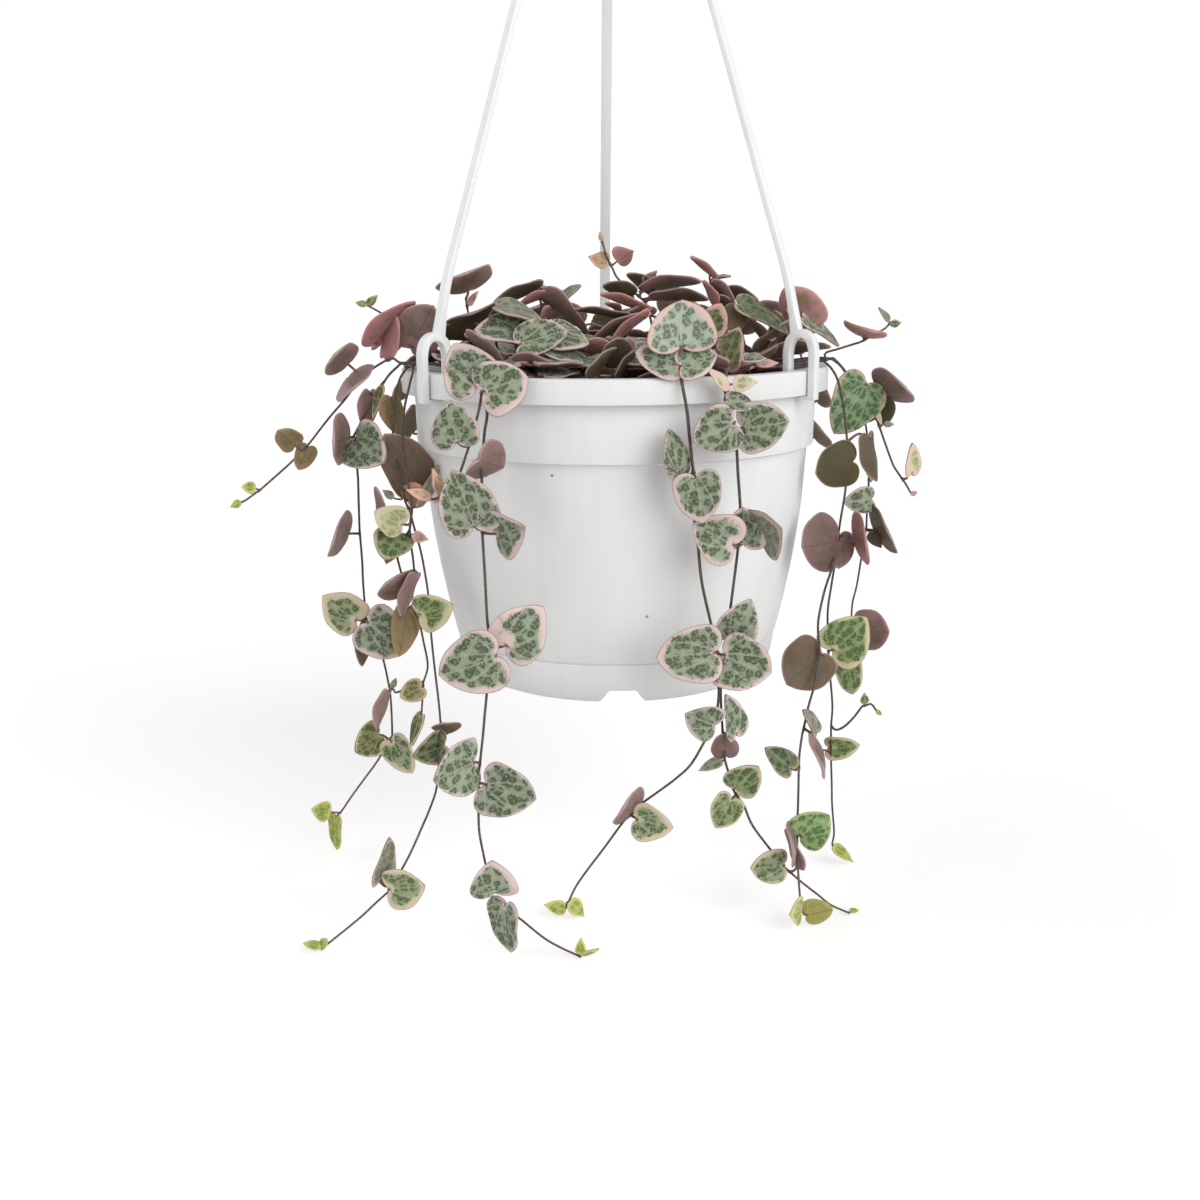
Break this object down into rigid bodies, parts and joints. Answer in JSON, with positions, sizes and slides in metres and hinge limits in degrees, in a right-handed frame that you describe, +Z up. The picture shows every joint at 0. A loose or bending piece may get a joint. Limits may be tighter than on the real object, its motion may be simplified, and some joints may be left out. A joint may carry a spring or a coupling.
{
  "type": "string of hearts in a hanging pot",
  "caption": "Trailing plant with variegated heart-shaped leaves on thin hanging stems, growing in a round white hanging pot with a plastic hook and straps.",
  "frame": {"origin": "inner top of the hook's bend, the point the whole thing hangs from", "axes": "+Z up, +X to the right seen from the front, -Y towards the front"},
  "size_m": [0.2263, 0.1725, 0.3984],
  "materials": {
    "pot_plastic": "satin",
    "hanger_plastic": "satin",
    "soil": "matte",
    "foliage": "satin"
  },
  "bodies": {
    "root": {"hanger_arm_back": "hanger_plastic", "hanger_arm_left": "hanger_plastic", "hanger_arm_right": "hanger_plastic", "hanger_hook": "hanger_plastic", "pot": "pot_plastic", "shoot_back_a": "foliage", "shoot_back_b": "foliage", "shoot_back_c": "foliage", "shoot_back_d": "foliage", "shoot_back_e": "foliage", "shoot_back_f": "foliage", "shoot_back_g": "foliage", "shoot_back_h": "foliage", "shoot_centre": "foliage", "shoot_centre_front": "foliage", "shoot_centre_low": "foliage", "shoot_left_back": "foliage", "shoot_left_edge": "foliage", "shoot_left_front": "foliage", "shoot_left_middle": "foliage", "shoot_right_back": "foliage", "shoot_right_edge": "foliage", "shoot_right_front": "foliage", "shoot_right_middle": "foliage", "shoot_right_pink": "foliage", "shoot_twig": "foliage", "soil": "soil", "vine_back_left": "foliage", "vine_back_middle": "foliage", "vine_back_middle_left": "foliage", "vine_back_right": "foliage", "vine_front_left": "foliage", "vine_front_right": "foliage", "vine_front_right_left": "foliage", "vine_left_far": "foliage", "vine_left_inner": "foliage", "vine_left_middle": "foliage", "vine_left_outer": "foliage", "vine_right_inner": "foliage", "vine_right_outer": "foliage", "vine_right_side": "foliage", "vine_side_left": "foliage", "vine_side_right": "foliage"}
  },
  "joints": []
}
